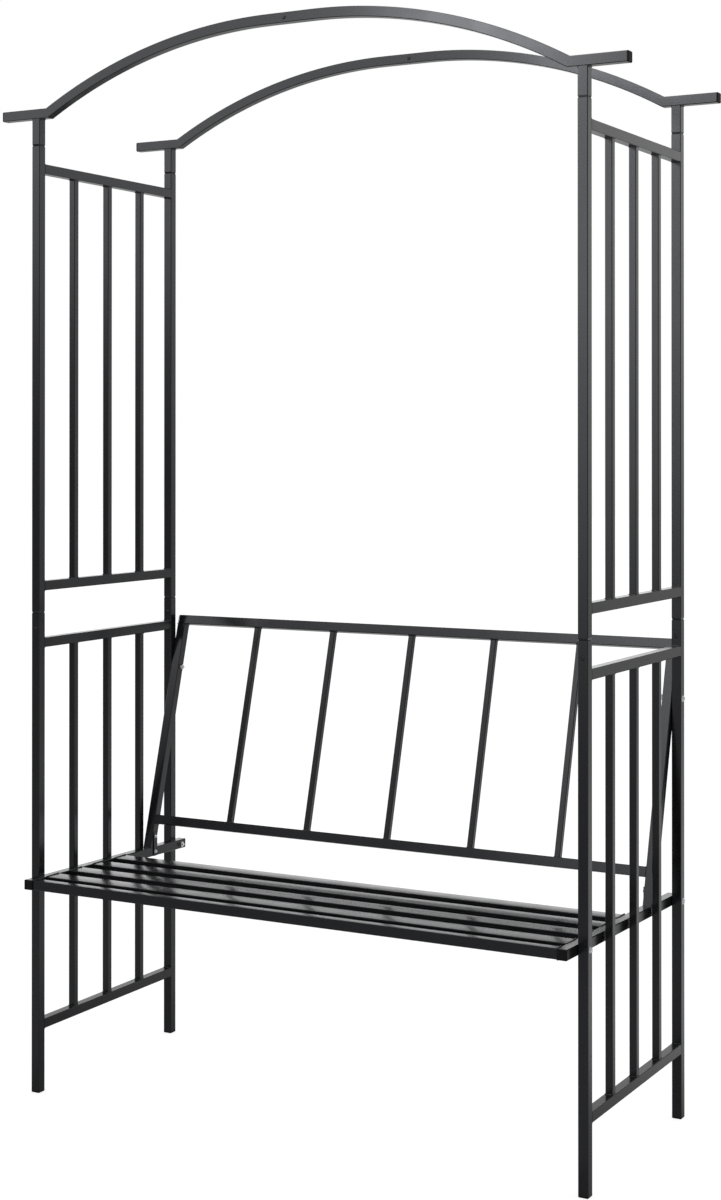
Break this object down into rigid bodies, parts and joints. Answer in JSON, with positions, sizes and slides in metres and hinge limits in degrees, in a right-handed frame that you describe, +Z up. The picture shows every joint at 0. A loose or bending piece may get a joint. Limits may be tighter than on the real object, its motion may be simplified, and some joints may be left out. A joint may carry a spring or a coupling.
{
  "type": "garden arch with bench",
  "caption": "Black metal rose arch of square tube with two slotted side panels, two shallow curved arches, a slatted bench between the posts and a leaning barred backrest.",
  "frame": {"origin": "on the ground, in the middle of the bounding box seen from above", "axes": "+Z up, -Y towards the front, where people sit down from, +X to the right as seen from the front"},
  "size_m": [1.326, 0.5558, 2.07],
  "materials": {
    "frame_paint": "black powder coat, semi-gloss",
    "black_plastic": "black moulded plastic plug",
    "grey_plastic": "light grey moulded plastic plug",
    "black_screw": "blackened steel",
    "zinc": "zinc-plated steel"
  },
  "bodies": {
    "root": {"left_front_lower_post": "frame_paint", "left_front_upper_post": "frame_paint", "left_front_arch_leg": "frame_paint", "left_rear_lower_post": "frame_paint", "left_rear_upper_post": "frame_paint", "left_rear_arch_leg": "frame_paint", "left_lower_bottom_rail": "frame_paint", "left_lower_top_rail": "frame_paint", "left_upper_bottom_rail": "frame_paint", "left_upper_top_rail": "frame_paint", "left_lower_bars": "frame_paint", "left_upper_bars": "frame_paint", "right_front_lower_post": "frame_paint", "right_front_upper_post": "frame_paint", "right_front_arch_leg": "frame_paint", "right_rear_lower_post": "frame_paint", "right_rear_upper_post": "frame_paint", "right_rear_arch_leg": "frame_paint", "right_lower_bottom_rail": "frame_paint", "right_lower_top_rail": "frame_paint", "right_upper_bottom_rail": "frame_paint", "right_upper_top_rail": "frame_paint", "right_lower_bars": "frame_paint", "right_upper_bars": "frame_paint", "front_arch_left_half": "frame_paint", "front_arch_left_end": "frame_paint", "front_arch_right_half": "frame_paint", "front_arch_right_end": "frame_paint", "rear_arch_left_half": "frame_paint", "rear_arch_left_end": "frame_paint", "rear_arch_right_half": "frame_paint", "rear_arch_right_end": "frame_paint", "seat_left_arm": "frame_paint", "seat_right_arm": "frame_paint", "seat_front_rail": "frame_paint", "seat_slat_1": "frame_paint", "seat_slat_2": "frame_paint", "seat_slat_3": "frame_paint", "seat_slat_4": "frame_paint", "backrest_left_bar": "frame_paint", "backrest_right_bar": "frame_paint", "backrest_top_rail": "frame_paint", "backrest_bottom_rail": "frame_paint", "backrest_upright_1": "frame_paint", "backrest_upright_2": "frame_paint", "backrest_upright_3": "frame_paint", "backrest_upright_4": "frame_paint", "backrest_upright_5": "frame_paint", "backrest_foot_straps": "frame_paint", "arch_end_caps": "black_plastic", "foot_plugs": "black_plastic", "seat_arm_plugs": "black_plastic", "backrest_rail_plugs": "grey_plastic", "post_joint_screws": "black_screw", "crown_screws": "black_screw", "backrest_foot_screws": "zinc", "seat_bolts": "zinc", "seat_nuts": "zinc", "backrest_bolts": "zinc", "backrest_nuts": "zinc"}
  },
  "joints": []
}
